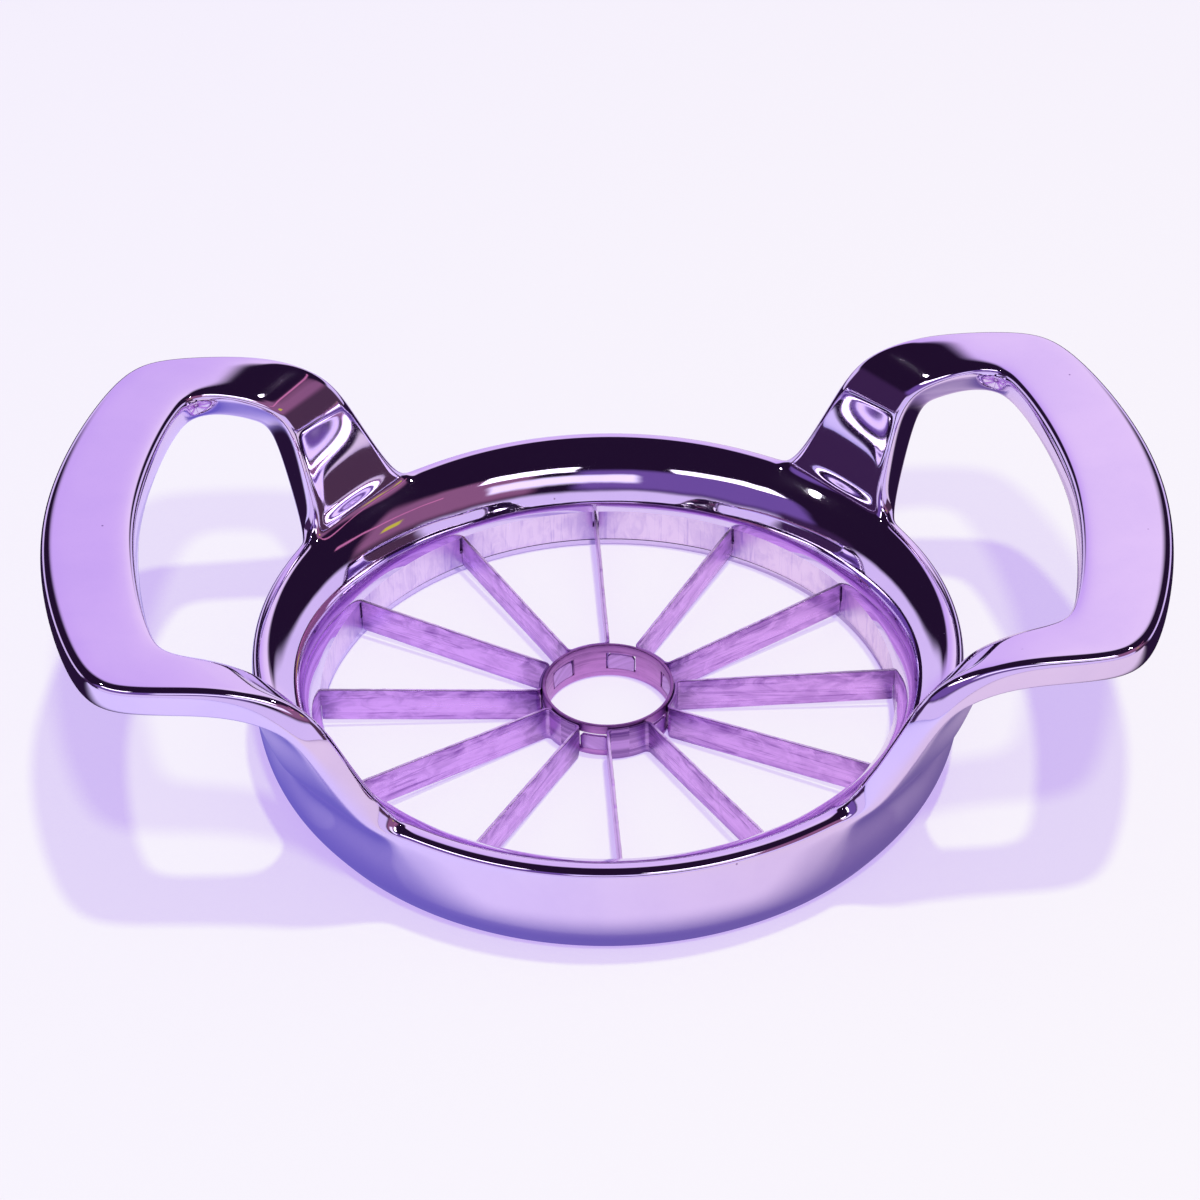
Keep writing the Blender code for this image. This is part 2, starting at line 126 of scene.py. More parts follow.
def ramp(tree, value, low, high, smooth=True):
    """0 below low and 1 above high, with a soft step between them."""
    made = tree.nodes.new("ShaderNodeMapRange")
    made.interpolation_type = "SMOOTHSTEP" if smooth else "LINEAR"
    made.inputs["From Min"].default_value = low
    made.inputs["From Max"].default_value = high
    tree.links.new(value, made.inputs["Value"])
    return made.outputs["Result"]


def mix_colour(tree, share, first, second):
    made = tree.nodes.new("ShaderNodeMix")
    made.data_type = "RGBA"
    for socket, value in ((made.inputs[0], share), (made.inputs[6], first), (made.inputs[7], second)):
        if isinstance(value, bpy.types.NodeSocket):
            tree.links.new(value, socket)
        else:
            socket.default_value = value
    return made.outputs[2]


def mix_shader(tree, share, first, second):
    made = tree.nodes.new("ShaderNodeMixShader")
    tree.links.new(share, made.inputs[0])
    link(tree, first, 0, made, 1)
    link(tree, second, 0, made, 2)
    return made


def table_look(tree, to_right, shade_left, shade_right, lit_colour):
    """A pale top whose own colour fills its shadows: the shade's colour, and more where light falls."""
    shade = tree.nodes.new("ShaderNodeEmission")
    tree.links.new(mix_colour(tree, to_right, shade_left, shade_right), shade.inputs["Color"])
    lit = tree.nodes.new("ShaderNodeBsdfDiffuse")
    lit.inputs["Color"].default_value = lit_colour
    both = tree.nodes.new("ShaderNodeAddShader")
    link(tree, shade, 0, both, 0)
    link(tree, lit, 0, both, 1)
    return both


table_finish = bpy.data.materials.new("white_table")
table_finish.use_nodes = True
tree = table_finish.node_tree
tree.nodes.clear()
place = tree.nodes.new("ShaderNodeTexCoord")
split = tree.nodes.new("ShaderNodeSeparateXYZ")
link(tree, place, "Object", split, 0)
across, ahead, _ = split.outputs
aside = math_node(tree, "ABSOLUTE", across)
to_right = ramp(tree, across, -half_turn_of_shade, half_turn_of_shade)
direct = table_look(tree, to_right, table_shade_left, table_shade_right, table_lit_colour)
mirrored = table_look(tree, to_right, mirrored_shade_left, mirrored_shade_right, mirrored_lit_colour)
# Close to the ring's outside the metal mirrors a painted deep shade, which reaches far out at the sides
distance = math_node(tree, "MULTIPLY", ahead, ahead)
distance = math_node(tree, "SQRT", math_node(tree, "MULTIPLY_ADD", across, across, distance))
sideways = ramp(tree, math_node(tree, "DIVIDE", aside, distance), *sideways_shares)
reach = math_node(tree, "MULTIPLY_ADD", sideways, deep_reach[1] - deep_reach[0], deep_reach[0])
out = math_node(tree, "DIVIDE", math_node(tree, "SUBTRACT", distance, deep_start), reach)
deep = ramp(tree, out, *deep_end_shares)
deep = math_node(tree, "MULTIPLY", deep, ramp(tree, distance, *deep_inner_edge))
painted_ring_shade_colour = mix_colour(tree, to_right, painted_ring_shade_left, painted_ring_shade_right)
painted_ring_shade = tree.nodes.new("ShaderNodeEmission")
tree.links.new(painted_ring_shade_colour, painted_ring_shade.inputs["Color"])
mirrored = mix_shader(tree, deep, mirrored, painted_ring_shade)
# Far out at both sides the metal mirrors the table painted dark: a painted dark reflection
painted_far_dark_share = math_node(tree, "MULTIPLY", ramp(tree, aside, *far_aside), ramp(tree, ahead, *far_ahead))
painted_far_dark_reflection = tree.nodes.new("ShaderNodeEmission")
painted_far_dark_reflection.inputs["Color"].default_value = painted_far_dark
mirrored = mix_shader(tree, painted_far_dark_share, mirrored, painted_far_dark_reflection)
# A painted paler reflection in the bore, where light falls in from above: it mirrors more of the table as it
# is
painted_bore_light_share = math_node(tree, "MULTIPLY", ramp(tree, distance, *bore_edge), bore_share)
mirrored = mix_shader(tree, painted_bore_light_share, mirrored, direct)
seen = tree.nodes.new("ShaderNodeLightPath")
plain_rays = math_node(tree, "MAXIMUM", seen.outputs["Is Camera Ray"], seen.outputs["Is Transmission Ray"])
table_top = mix_shader(tree, plain_rays, mirrored, direct)
output = tree.nodes.new("ShaderNodeOutputMaterial")
link(tree, table_top, 0, output, 0)
table.data.materials.append(table_finish)


# Room.
# A pale backdrop stands behind the slicer, and the lower room in front of it is pale too. The rest
# is dark, with dim panels at the sides, a pink and a yellow strip, and three white panels up high.
# Only the chrome shows this room: the camera sees plain white, and the table gets a soft light.
backdrop_left = (0.66, 0.47, 0.93, 1.0)
backdrop_right = (0.86, 0.70, 0.98, 1.0)
backdrop_turn = (-16, 20)
dark_room = (0.016, 0.006, 0.026, 1.0)
soft_light = (0.44, 0.42, 0.50, 1.0)
camera_white = (0.93, 0.90, 0.985, 1.0)
wander_scale = 4.5
azimuth_wander = 9.0
elevation_wander = 4.0
# Middle and half width round the room, lowest and highest angle and softness in degrees, and colour
backdrop_place = (2, 22, -90, 52, 4)
panels = (
    (180, 180, -90, 17, 3, (0.72, 0.60, 0.93, 1.0)),
    (-143, 45, 19, 45, 4, (0.17, 0.09, 0.35, 1.0)),
    (95, 16, -12, 22, 3, (0.075, 0.035, 0.07, 1.0)),
    (-97, 16, -12, 22, 3, (0.045, 0.018, 0.07, 1.0)),
    (118, 36, 20, 50, 4, (0.27, 0.11, 0.22, 1.0)),
    (90, 26, 39.4, 40.8, 0.5, (0.62, 0.20, 0.40, 1.0)),
    (96, 5, 28, 32.5, 1, (0.62, 0.58, 0.06, 1.0)),
    (166, 29, 27, 37, 2, (1.1, 1.0, 1.3, 1.0)),
    (-125, 24, 45, 52, 1.2, (3.2, 3.0, 3.4, 1.0)),
    (150, 20, 44, 53, 1.2, (3.2, 3.0, 3.4, 1.0)),
)

world = bpy.data.worlds.new("studio")
world.use_nodes = True
scene.world = world
tree = world.node_tree
nodes = tree.nodes
nodes.clear()
where = nodes.new("ShaderNodeTexCoord")
split = nodes.new("ShaderNodeSeparateXYZ")
link(tree, where, "Generated", split, 0)
side, ahead, height = split.outputs
elevation = math_node(tree, "DEGREES", math_node(tree, "ARCSINE", height))
azimuth = math_node(tree, "DEGREES", math_node(tree, "ARCTAN2", side, ahead))


def wandering(angle, seed, degrees):
    """Nothing in the room is quite straight: an angle wanders by a few degrees."""
    moved = nodes.new("ShaderNodeTexNoise")
    moved.noise_dimensions = "4D"
    moved.inputs["Scale"].default_value = wander_scale
    moved.inputs["Detail"].default_value = 2.0
    moved.inputs["W"].default_value = seed
    link(tree, where, "Generated", moved, "Vector")
    off = math_node(tree, "SUBTRACT", moved.outputs[0], 0.5)
    return math_node(tree, "MULTIPLY_ADD", off, degrees, angle)


azimuth = wandering(azimuth, 2.6, azimuth_wander)
elevation = wandering(elevation, 7.9, elevation_wander)


def panel_mask(tree, middle, half_width, low, high, soft):
    """1 where a direction of the room is in a panel, from the panel's angles in degrees."""
    turn = math_node(tree, "SUBTRACT", azimuth, middle)
    turn = math_node(tree, "ABSOLUTE", math_node(tree, "WRAP", turn, 180.0, -180.0))
    off = math_node(tree, "SUBTRACT", elevation, (low + high) / 2)
    off = math_node(tree, "ABSOLUTE", off)
    beside = ramp(tree, turn, half_width + soft, half_width - soft)
    level = ramp(tree, off, (high - low) / 2 + soft, (high - low) / 2 - soft)
    return math_node(tree, "MULTIPLY", beside, level)


room = dark_room
for *angles, colour in panels:
    room = mix_colour(tree, panel_mask(tree, *angles), room, colour)
backdrop = mix_colour(tree, ramp(tree, azimuth, *backdrop_turn), backdrop_left, backdrop_right)
room = mix_colour(tree, panel_mask(tree, *backdrop_place), room, backdrop)
rays = nodes.new("ShaderNodeLightPath")
shown = mix_colour(tree, rays.outputs["Is Glossy Ray"], soft_light, room)
plain_rays = math_node(tree, "MAXIMUM", rays.outputs["Is Camera Ray"], rays.outputs["Is Transmission Ray"])
shown = mix_colour(tree, plain_rays, shown, camera_white)
surround = nodes.new("ShaderNodeBackground")
tree.links.new(shown, surround.inputs["Color"])
output = nodes.new("ShaderNodeOutputWorld")
link(tree, surround, 0, output, 0)


# Lamps.
# Two round lamps high over the slicer light the table and cast the soft shadows straight below the
# handles. Two small ones at the sides give the crisp spots on the chrome's edges. Each has its
# place, its diameter and its power.
top_lamps = (((0.22, 0.0, 2.0), 0.12, 23.0), ((0.16, -1.0, 2.0), 0.20, 22.0))
spark_lamps = (((-0.61, 0.22, 1.00), 0.05, 0.2), ((0.60, 0.27, 0.96), 0.05, 0.3))
for kind, lamps in (("top", top_lamps), ("spark", spark_lamps)):
    for index, (place, size, power) in enumerate(lamps):
        lamp_data = bpy.data.lights.new("%s_lamp_%d" % (kind, index + 1), "AREA")
        lamp_data.shape = "DISK"
        lamp_data.size = size
        lamp_data.energy = power
        lamp = bpy.data.objects.new("%s_lamp_%d" % (kind, index + 1), lamp_data)
        lamp.location = place
        lamp.rotation_euler = (-Vector(place)).to_track_quat("-Z", "Y").to_euler()
        lamp.visible_glossy = kind == "spark"
        lamp.visible_diffuse = kind == "top"
        scene.collection.objects.link(lamp)


# Chrome frame.
# One zinc die casting, polished and plated. The ring, four flared arms and two loop grips are
# one smooth skin. The ring's bore has a lip that holds the blade band, and a flat foot.
lip_radius = 0.04784
groove_radius = 0.04840
groove_top = 0.00785
ledge_height = 0.0011
flash_radius = 0.04745
flash_height = 0.0075
outer_radius = 0.05799
crest_height = 0.0179
shoulder_radius = 0.0532
foot_radius = 0.05455
arm_angles = (math.radians(29.5), math.radians(54.0))
fillet_angle = math.radians(2.5)
flash_slope = 0.00008
foot_round_radius = 0.0556
foot_round_height = 0.0016
chrome_smoothing = 3
same_place = 0.000001
smooth_angle = math.radians(40)
# The cone over the lip, as shares of the way from the lip to the shoulder, out and up, and the
# crest's round back, as shares of its width and height
cone_shares = ((0.047, 0.1538), (0.174, 0.3365), (0.374, 0.5385), (0.652, 0.7404))
crest_shares = (
    (0.08, 0.94), (0.46, 1.003), (0.77, 1.003), (0.97, 0.97), (1.0, 0.855), (1.0, 0.52), (0.87, 0.25),
)
# How far each corner of the section gives up the spacing of the arms for an even one
even_shares = (1, 1, 1, 1, 1, 1, 1, 0.8, 0.55, 0.3, 0, 0, 0, 0, 0, 0.4, 0.7, 1, 1)

# The section of the ring: radius, height and how sharp the corner is
cone_width = shoulder_radius - flash_radius
cone_rise = crest_height - flash_height
crest_width = outer_radius - shoulder_radius
ring_section = [
    (lip_radius, 0.0, 1.0),
    (lip_radius, ledge_height, 1.0),
    (groove_radius, ledge_height, 1.0),
    (groove_radius, groove_top, 1.0),
    (flash_radius + flash_slope, groove_top, 1.0),
    (flash_radius, flash_height, 0.9),
]
for index, (out, up) in enumerate(cone_shares):
    sharpness = 0.0 if index else 0.3
    ring_section.append((flash_radius + out * cone_width, flash_height + up * cone_rise, sharpness))
for out, up in crest_shares:
    ring_section.append((shoulder_radius + out * crest_width, up * crest_height, 0.0))
ring_section += [(foot_round_radius, foot_round_height, 0.0), (foot_radius, 0.0, 0.8)]

# Places round a quarter of the ring, closer together beside the arm
inner_flank = arm_angles[0] - fillet_angle
outer_flank = arm_angles[1] + fillet_angle
arm_step = (arm_angles[1] - arm_angles[0]) / 3
inner_quarter_shares = (0.0, 0.27, 0.53, 0.78, 1.0)
outer_quarter_shares = (0.0, 0.27, 0.62, 1.0)
quarter = [share * inner_flank for share in inner_quarter_shares]
quarter += [arm_angles[0] + arm_step * step for step in range(4)]
quarter += [outer_flank + share * (math.pi / 2 - outer_flank) for share in outer_quarter_shares]


def swell(index):
    """A smoothed polygon shrinks: its radius is corrected for the angles beside it."""
    before = quarter[index] - quarter[index - 1] if index else quarter[1]
    after = quarter[index + 1] - quarter[index] if index + 1 < len(quarter) else before
    return 6 / (4 + math.cos(before) + math.cos(after))


bpy.ops.object.select_all(action="DESELECT")
bpy.ops.mesh.primitive_circle_add(vertices=len(ring_section))
casting = bpy.context.object
casting.name = "chrome_frame"
bpy.ops.object.mode_set(mode="EDIT")
work = bmesh.from_edit_mesh(casting.data)
work.edges.layers.float.new("crease_edge")
for corner, (radius, up, _) in zip(work.verts, ring_section):
    corner.co = (radius * swell(0), 0, up)
bmesh.update_edit_mesh(casting.data)
for index in range(1, len(quarter)):
    bpy.ops.mesh.spin(steps=1, angle=quarter[index - 1] - quarter[index], center=(0, 0, 0), axis=(0, 0, 1))
    grow = swell(index) / swell(index - 1)
    bpy.ops.transform.resize(value=(grow, grow, 1), center_override=(0, 0, 0))
work = bmesh.from_edit_mesh(casting.data)
crease = work.edges.layers.float["crease_edge"]
rows = len(ring_section)
# Away from the crest the places are evenly spaced, which keeps the bore and the foot truly round
even_step = math.pi / 2 / (len(quarter) - 1)
even_swell = 6 / (4 + 2 * math.cos(even_step))
for corner in work.verts:
    sector, row = divmod(corner.index, rows)
    if even_shares[row]:
        turn = quarter[sector] + (even_step * sector - quarter[sector]) * even_shares[row]
        radius = ring_section[row][0] * (swell(sector) + (even_swell - swell(sector)) * even_shares[row])
        corner.co = (radius * math.cos(turn), radius * math.sin(turn), corner.co.z)
for edge in work.edges:
    row, other = (corner.index % rows for corner in edge.verts)
    if row == other:
        edge[crease] = ring_section[row][2]
bmesh.update_edit_mesh(casting.data)

# The handle's outer edge and its finger hole, from the ring round to the X axis, as shares of
# the way from the ring's crest to the reach, of the half width, and from the crest to the top
handle_reach = 0.0886
handle_half_width = 0.0447
handle_top = 0.04529
handle_thickness = 0.0051
edge_rounding = 0.0008
hole_reach = 0.0741
hole_half_width = 0.0344
hole_draft = 0.0005
outer_edge_shares = (
    (0.04, 0.995, 0.104), (0.097, 0.999, 0.32), (0.136, 1.0, 0.485), (0.163, 1.0, 0.6),
    (0.204, 1.0, 0.745), (0.264, 1.0, 0.863), (0.374, 1.0, 0.965), (0.507, 1.0, 1.0), (0.683, 1.0, 1.0),
    (0.797, 0.96, 1.0), (0.873, 0.79, 1.0), (0.941, 0.53, 1.0), (0.984, 0.265, 1.0), (1.0, 0.0, 1.0),
)
inner_edge_shares = (
    (-0.023, 0.86, 0.089), (0.029, 0.93, 0.296), (0.069, 0.965, 0.473), (0.11, 0.984, 0.63),
    (0.165, 0.996, 0.735), (0.25, 1.0, 0.825), (0.452, 1.0, 0.919), (0.631, 1.0, 0.955),
    (0.764, 0.955, 0.969), (0.83, 0.82, 0.977), (0.876, 0.7, 0.983), (0.934, 0.5, 0.99),
    (0.98, 0.255, 0.993), (1.0, 0.0, 0.995),
)
# How far the middle of the arm's front is set back from its edges, from the ring upwards
front_hollow = (0.0003, 0.0006, 0.0004, 0.0, 0.0, 0.0)
front_rim_share = 0.17
bend_section = 3
bend_sharpness = 0.6


def handle_edge(shares, angle, reach, half_width):
    root = (shoulder_radius + outer_radius) / 2 * math.cos(angle)
    rise = handle_top - crest_height
    return [
        Vector((root + out * (reach - root), aside * half_width, crest_height + up * rise))
        for out, aside, up in shares
    ]


outer_edge = handle_edge(outer_edge_shares, arm_angles[1], handle_reach, handle_half_width)
inner_edge = handle_edge(inner_edge_shares, arm_angles[0], hole_reach, hole_half_width)
middle = [(outer + inner) / 2 for outer, inner in zip(outer_edge, inner_edge)]


def handle_section(index):
    """Twelve corners round the handle: its top, its side in the hole, its underside, its outer side."""
    outer, inner = outer_edge[index], inner_edge[index]
    before = middle[max(index - 1, 0)]
    after = middle[index + 1] if index + 1 < len(middle) else Vector((before.x, -before.y, before.z))
    across = (inner - outer).normalized()
    up = across.cross((after - before).normalized()).normalized()
    up *= math.copysign(1, up.z)
    width = (inner - outer).length
    draft = across * hole_draft
    bulge = across * (edge_rounding / 4)
    down = -up * handle_thickness
    places = (edge_rounding, width / 3, width * 2 / 3, width - edge_rounding)
    top = [outer + across * place for place in places]
    bottom = [corner + down for corner in reversed(top)]
    if index < len(front_hollow):
        # The front of the arm stands back between two rounded rims
        top[1] = outer + across * (width * front_rim_share) - up * front_hollow[index]
        top[2] = inner - across * (width * front_rim_share) - up * front_hollow[index]
    bottom[0] += draft
    side_in = [inner + bulge - up * edge_rounding, inner + bulge + down + up * edge_rounding + draft]
    side_out = [outer - bulge + down + up * edge_rounding, outer - bulge - up * edge_rounding]
    return top + side_in + bottom + side_out


# The arm grows from the three sections of the ring's crest between the arm's angles
arm_sectors = range(5, 9)
crest_rows = range(11, 15)
mouth = [sector * rows + crest_rows[0] for sector in reversed(arm_sectors)]
mouth += [arm_sectors[0] * rows + row for row in crest_rows[1:-1]]
mouth += [sector * rows + crest_rows[-1] for sector in arm_sectors]
mouth += [arm_sectors[-1] * rows + row for row in reversed(crest_rows[1:-1])]
work = bmesh.from_edit_mesh(casting.data)
work.verts.ensure_lookup_table()
loop = [work.verts[index].co.copy() for index in mouth]
inside = {sector * rows + row for sector in arm_sectors for row in crest_rows}
bpy.ops.mesh.select_mode(type="FACE")
bpy.ops.mesh.select_all(action="DESELECT")
for face in work.faces:
    if all(corner.index in inside for corner in face.verts):
        face.select_set(True)
bmesh.update_edit_mesh(casting.data)
bpy.ops.mesh.delete(type="FACE")


def nearest(place, places):
    return min(range(len(places)), key=lambda index: (place - places[index]).length)


def joins(edge, corners):
    """Whether both ends of an edge lie on some of these corners."""
    return all((end.co - corners[nearest(end.co, corners)]).length < same_place for end in edge.verts)


bpy.ops.mesh.select_mode(type="EDGE")
bpy.ops.mesh.select_all(action="DESELECT")
work = bmesh.from_edit_mesh(casting.data)
for edge in work.edges:
    if edge.is_boundary and joins(edge, loop):
        edge.select_set(True)
bmesh.update_edit_mesh(casting.data)
for index in range(len(middle)):
    bpy.ops.mesh.extrude_region_move()
    work = bmesh.from_edit_mesh(casting.data)
    section = handle_section(index)
    for corner in work.verts:
        if corner.select:
            corner.co = section[nearest(corner.co, loop)]
    if index == bend_section:
        bend = section[:4]
    bmesh.update_edit_mesh(casting.data)
    loop = section
work = bmesh.from_edit_mesh(casting.data)
crease = work.edges.layers.float["crease_edge"]
for edge in work.edges:
    if joins(edge, bend):
        edge[crease] = bend_sharpness
bmesh.update_edit_mesh(casting.data)
bpy.ops.object.mode_set(mode="OBJECT")

# Four mirrored quarters, smoothed into one skin
whole = casting.modifiers.new("whole", "MIRROR")
whole.use_axis = (True, True, False)
whole.use_clip = True
whole.merge_threshold = 10 * same_place
skin = casting.modifiers.new("skin", "SUBSURF")
skin.levels = chrome_smoothing
skin.render_levels = chrome_smoothing
for change in ("whole", "skin"):
    bpy.ops.object.modifier_apply(modifier=change)
bpy.ops.object.mode_set(mode="EDIT")
bpy.ops.mesh.select_all(action="SELECT")
bpy.ops.mesh.normals_make_consistent(inside=False)
bpy.ops.object.mode_set(mode="OBJECT")
bpy.ops.object.shade_smooth()
casting.data.set_sharp_from_angle(angle=smooth_angle)


def new_group(name, inputs, outputs):
    """An empty shader node group with its named sockets, and its two end nodes."""
    group = bpy.data.node_groups.new(name, "ShaderNodeTree")
    for label, kind in inputs:
        group.interface.new_socket(label, in_out="INPUT", socket_type=kind)
    for label, kind in outputs:
        group.interface.new_socket(label, in_out="OUTPUT", socket_type=kind)
    return group, group.nodes.new("NodeGroupInput"), group.nodes.new("NodeGroupOutput")


def noise_node(tree, vector, scale, detail=2.0, rough=0.5, warp=0.0):
    made = tree.nodes.new("ShaderNodeTexNoise")
    tree.links.new(vector, made.inputs["Vector"])
    made.inputs["Scale"].default_value = scale
    made.inputs["Detail"].default_value = detail
    made.inputs["Roughness"].default_value = rough
    made.inputs["Distortion"].default_value = warp
    return made.outputs[0]


def bump_node(tree, height, depth):
    made = tree.nodes.new("ShaderNodeBump")
    made.inputs["Distance"].default_value = depth
    tree.links.new(height, made.inputs["Height"])
    return made.outputs[0]


# The plate is polished by hand: it waves a little, and has faint smears and a few pits
wave_scale = 95.0
ripple_scale = 420.0
grain_scale = 2600.0
smear_scale = 75.0
pit_scale = 420.0
ripple_share = 0.085
grain_share = 0.006
pit_share = -0.03
pitted_cells = (0.95, 0.96)
polish, polish_in, polish_out = new_group(
    "polished_plate",
    (("Place", "NodeSocketVector"),),
    (("Height", "NodeSocketFloat"), ("Smears", "NodeSocketFloat"), ("Pits", "NodeSocketFloat")),
)
spot = polish_in.outputs[0]
waves = noise_node(polish, spot, wave_scale, 1.0)
ripple = noise_node(polish, spot, ripple_scale, 2.0, 0.55)
grain = noise_node(polish, spot, grain_scale, 2.0, 0.6)
height = math_node(polish, "MULTIPLY_ADD", ripple, ripple_share, waves)
height = math_node(polish, "MULTIPLY_ADD", grain, grain_share, height)
smears = noise_node(polish, spot, smear_scale, 5.0, 0.6, 0.3)
smears = ramp(polish, smears, 0.30, 0.78)
cells = polish.nodes.new("ShaderNodeTexVoronoi")
cells.inputs["Scale"].default_value = pit_scale
link(polish, polish_in, 0, cells, "Vector")
pick = polish.nodes.new("ShaderNodeSeparateColor")
link(polish, cells, "Color", pick, 0)
some = ramp(polish, pick.outputs[0], *pitted_cells)
pits = math_node(polish, "MULTIPLY", ramp(polish, cells.outputs["Distance"], 0.10, 0.04), some)
height = math_node(polish, "MULTIPLY_ADD", pits, pit_share, height)
polish.links.new(height, polish_out.inputs["Height"])
polish.links.new(smears, polish_out.inputs["Smears"])
polish.links.new(pits, polish_out.inputs["Pits"])

chrome_clean = (0.89, 0.79, 0.98, 1.0)
chrome_smeared = (0.84, 0.745, 0.96, 1.0)
chrome_pit = (0.40, 0.30, 0.50, 1.0)
chrome_waviness = 0.000010
chrome_roughness = 0.03
smear_roughness = 0.03
pit_roughness = 0.3

chrome = bpy.data.materials.new("polished_chrome")
chrome.use_nodes = True
tree = chrome.node_tree
shader = tree.nodes["Principled BSDF"]
shader.inputs["Metallic"].default_value = 1.0
place = tree.nodes.new("ShaderNodeTexCoord")
plate = tree.nodes.new("ShaderNodeGroup")
plate.node_tree = polish
link(tree, place, "Object", plate, 0)
colour = mix_colour(tree, plate.outputs["Smears"], chrome_clean, chrome_smeared)
colour = mix_colour(tree, plate.outputs["Pits"], colour, chrome_pit)
tree.links.new(colour, shader.inputs["Base Color"])
roughness = math_node(tree, "MULTIPLY_ADD", plate.outputs["Smears"], smear_roughness, chrome_roughness)
roughness = math_node(tree, "MULTIPLY_ADD", plate.outputs["Pits"], pit_roughness, roughness)
tree.links.new(roughness, shader.inputs["Roughness"])
tree.links.new(bump_node(tree, plate.outputs["Height"], chrome_waviness), shader.inputs["Normal"])


def dress(thing, finish):
    thing.data.materials.clear()
    thing.data.materials.append(finish)


dress(casting, chrome)
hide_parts("frame")
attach(casting, "root")


# Blade band.
# A hoop of stainless sheet in the groove of the bore. Twelve slots are cut down from its upper
# edge for the ends of the blades, and its sheared edges are a little ragged.
band_radius = 0.0475
band_wall = 0.0006
band_heights = (0.0015, 0.0022, 0.0030, 0.0036, 0.0042, 0.0050, 0.0060, 0.0069, 0.0075, 0.0078)
slot_floor = 4
slot_width = 0.0011
ragged = 0.00007
sheet_edge = 0.00005
corner_angle = math.radians(50)
sheet_smooth_angle = math.radians(35)
blade_count = 12
first_blade = math.radians(90)
band_steps = 16
line_depth = 0.00012
line_edge = 0.00002
band_relief = 0.000012
band_light = (0.97, 0.82, 1.0, 1.0)
band_dark = (0.46, 0.31, 0.72, 1.0)
# Painted shade along the band's upper edge
painted_band_edge_shade = (0.10, 0.05, 0.15, 1.0)

pitch = math.tau / blade_count
half_slot = slot_width / 2 / band_radius
open_arc = pitch - 2 * half_slot
band_turns = []
for blade in range(blade_count):
    slot_turn = first_blade + pitch * blade
    band_turns.append(slot_turn - half_slot)
    band_turns += [slot_turn + half_slot + open_arc * step / band_steps for step in range(band_steps)]
band_turns.append(band_turns[0] + math.tau)
band_repeat = band_steps + 1


def placed_grid(name, columns, rows, place_corner, is_missing):
    """A grid with each corner put in its place and the cells that are cut away deleted."""
    bpy.ops.object.select_all(action="DESELECT")
    bpy.ops.mesh.primitive_grid_add(x_subdivisions=columns, y_subdivisions=rows, size=2)
    made = bpy.context.object
    made.name = name
    bpy.ops.object.mode_set(mode="EDIT")
    bpy.ops.mesh.select_mode(type="FACE")
    bpy.ops.mesh.select_all(action="DESELECT")
    mesh = bmesh.from_edit_mesh(made.data)
    for face in mesh.faces:
        spot = face.calc_center_median()
        face.select_set(is_missing(int((spot.x + 1) / 2 * columns), int((spot.y + 1) / 2 * rows)))
    for corner in mesh.verts:
        corner.co = place_corner(round((corner.co.x + 1) / 2 * columns), round((corner.co.y + 1) / 2 * rows))
    bmesh.update_edit_mesh(made.data)
    bpy.ops.mesh.delete(type="FACE")
    bpy.ops.mesh.select_all(action="SELECT")
    bpy.ops.mesh.remove_doubles(threshold=same_place)
    bpy.ops.mesh.normals_make_consistent(inside=False)
    bpy.ops.object.mode_set(mode="OBJECT")
    return made


def finish_sheet(thing, wall, side, edge):
    """Gives a sheet its wall and slightly broken edges."""
    solid = thing.modifiers.new("wall", "SOLIDIFY")
    solid.thickness = wall
    solid.offset = side
    solid.use_even_offset = True
    if "thin" in thing.vertex_groups:
        solid.vertex_group = "thin"
    broken = thing.modifiers.new("broken_edges", "BEVEL")
    broken.width = edge
    broken.segments = 2
    broken.limit_method = "ANGLE"
    broken.angle_limit = corner_angle
    for change in ("wall", "broken_edges"):
        bpy.ops.object.modifier_apply(modifier=change)
    bpy.ops.object.shade_smooth_by_angle(angle=sheet_smooth_angle)


def round_axis(radius, turn, up):
    return Vector((radius * math.cos(turn), radius * math.sin(turn), up))


def band_corner(column, row):
    turn, up = band_turns[column], band_heights[row]
    seam = column % (len(band_turns) - 1)
    if column % band_repeat in (0, 1) and row >= slot_floor:
        turn += noise.noise(Vector((seam * 0.37, row * 0.8, 0.5))) * ragged / band_radius
    if row == len(band_heights) - 1:
        up += noise.noise(Vector((seam * 0.6, 3.5, 0.5))) * ragged / 2
    return round_axis(band_radius, turn, up)


def in_slot(column, row):
    return column % band_repeat == 0 and row >= slot_floor


band = placed_grid("blade_band_sheet", len(band_turns) - 1, len(band_heights) - 1, band_corner, in_slot)
finish_sheet(band, band_wall, 1, sheet_edge)

# Places round the ring's axis: distance, turn in radians and height
round_group, round_in, round_out = new_group(
    "place_round_axis",
    (("Place", "NodeSocketVector"),),
    (("Radius", "NodeSocketFloat"), ("Turn", "NodeSocketFloat"), ("Height", "NodeSocketFloat")),
)
parts = round_group.nodes.new("ShaderNodeSeparateXYZ")
link(round_group, round_in, 0, parts, 0)
square = math_node(round_group, "MULTIPLY", parts.outputs[1], parts.outputs[1])
square = math_node(round_group, "MULTIPLY_ADD", parts.outputs[0], parts.outputs[0], square)
round_group.links.new(math_node(round_group, "SQRT", square), round_out.inputs["Radius"])
turn = math_node(round_group, "ARCTAN2", parts.outputs[1], parts.outputs[0])
round_group.links.new(turn, round_out.inputs["Turn"])
link(round_group, parts, 2, round_out, "Height")

